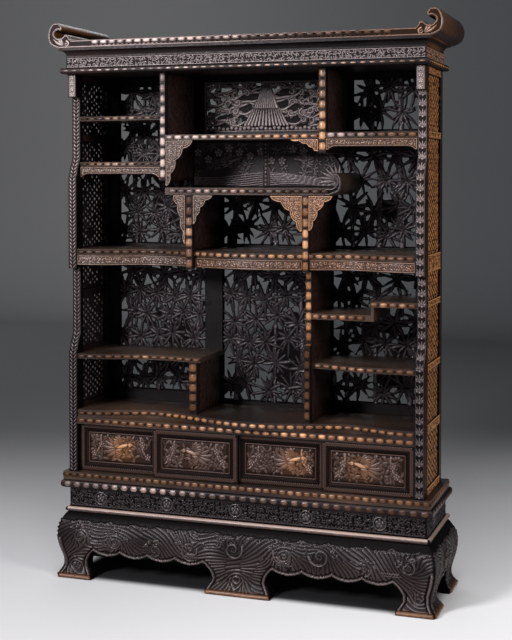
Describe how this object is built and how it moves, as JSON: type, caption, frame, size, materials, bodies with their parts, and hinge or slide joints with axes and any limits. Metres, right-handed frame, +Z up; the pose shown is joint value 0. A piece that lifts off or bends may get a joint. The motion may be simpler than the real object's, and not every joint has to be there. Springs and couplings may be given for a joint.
{
  "type": "carved display cabinet",
  "caption": "Carved hardwood display cabinet with stepped open shelves, pierced back and sides, sliding doors, scrolled top and a footed stand.",
  "frame": {"origin": "on the floor, at the centre of the whole cabinet's plan", "axes": "+Z up, +X to the right of someone facing the front, +Y towards the back"},
  "size_m": [1.47, 0.427, 2.0599],
  "materials": {
    "frame_wood": "dark stained hardwood, carved, satin",
    "carved_wood": "deep relief carving, near-black stain, waxed",
    "fretwork_wood": "pierced and carved, near-black stain",
    "shelf_wood": "dark brown polished boards with beaded edges",
    "worn_carving": "carved scrolls worn to golden brown"
  },
  "bodies": {
    "case": {"back_frame": "frame_wood", "back_panel_fan": "fretwork_wood", "back_panels_centre": "fretwork_wood", "back_panels_left": "fretwork_wood", "back_panels_right": "fretwork_wood", "base_apron_back": "carved_wood", "base_aprons_front": "carved_wood", "base_aprons_side": "carved_wood", "base_centre_foot": "carved_wood", "base_leg_front_left": "carved_wood", "base_leg_front_right": "carved_wood", "base_leg_rear_left": "carved_wood", "base_leg_rear_right": "carved_wood", "base_top_board": "frame_wood", "base_waist": "carved_wood", "bottom_board": "shelf_wood", "cornice_board": "frame_wood", "cornice_cove": "frame_wood", "cornice_frieze": "carved_wood", "counter_shelf": "shelf_wood", "divider_high_left": "frame_wood", "divider_high_right": "frame_wood", "divider_low_left": "frame_wood", "divider_low_right": "frame_wood", "divider_mid_left": "frame_wood", "divider_mid_right": "frame_wood", "door_head_board": "shelf_wood", "long_shelf": "shelf_wood", "niche_back": "carved_wood", "niche_brackets": "worn_carving", "post_front_left": "carved_wood", "post_front_right": "carved_wood", "post_rear_left": "frame_wood", "post_rear_right": "frame_wood", "scroll_shelf": "shelf_wood", "scroll_shelf_brackets": "worn_carving", "shelf_aprons": "worn_carving", "shelf_centre_high": "shelf_wood", "shelf_left_high": "shelf_wood", "shelf_left_low": "shelf_wood", "shelf_left_mid": "shelf_wood", "shelf_right_high": "shelf_wood", "shelf_right_low": "shelf_wood", "side_panels_left": "fretwork_wood", "side_panels_right": "fretwork_wood", "side_rails_left": "frame_wood", "side_rails_right": "frame_wood", "stepped_shelf": "shelf_wood", "top_board": "shelf_wood", "top_scroll_left": "shelf_wood", "top_scroll_right": "shelf_wood"},
    "door_1": {"door_1_frame": "frame_wood", "door_1_panel": "carved_wood"},
    "door_2": {"door_2_frame": "frame_wood", "door_2_panel": "carved_wood"},
    "door_3": {"door_3_frame": "frame_wood", "door_3_panel": "carved_wood"},
    "door_4": {"door_4_frame": "frame_wood", "door_4_panel": "carved_wood"}
  },
  "joints": [
    {"name": "door_1_slide", "type": "slide", "parent": "case", "child": "door_1", "axis": [1, 0, 0], "range_m": [0, 0.285]},
    {"name": "door_2_slide", "type": "slide", "parent": "case", "child": "door_2", "axis": [1, 0, 0], "range_m": [-0.3, 0]},
    {"name": "door_3_slide", "type": "slide", "parent": "case", "child": "door_3", "axis": [1, 0, 0], "range_m": [0, 0.322]},
    {"name": "door_4_slide", "type": "slide", "parent": "case", "child": "door_4", "axis": [1, 0, 0], "range_m": [-0.307, 0]}
  ]
}
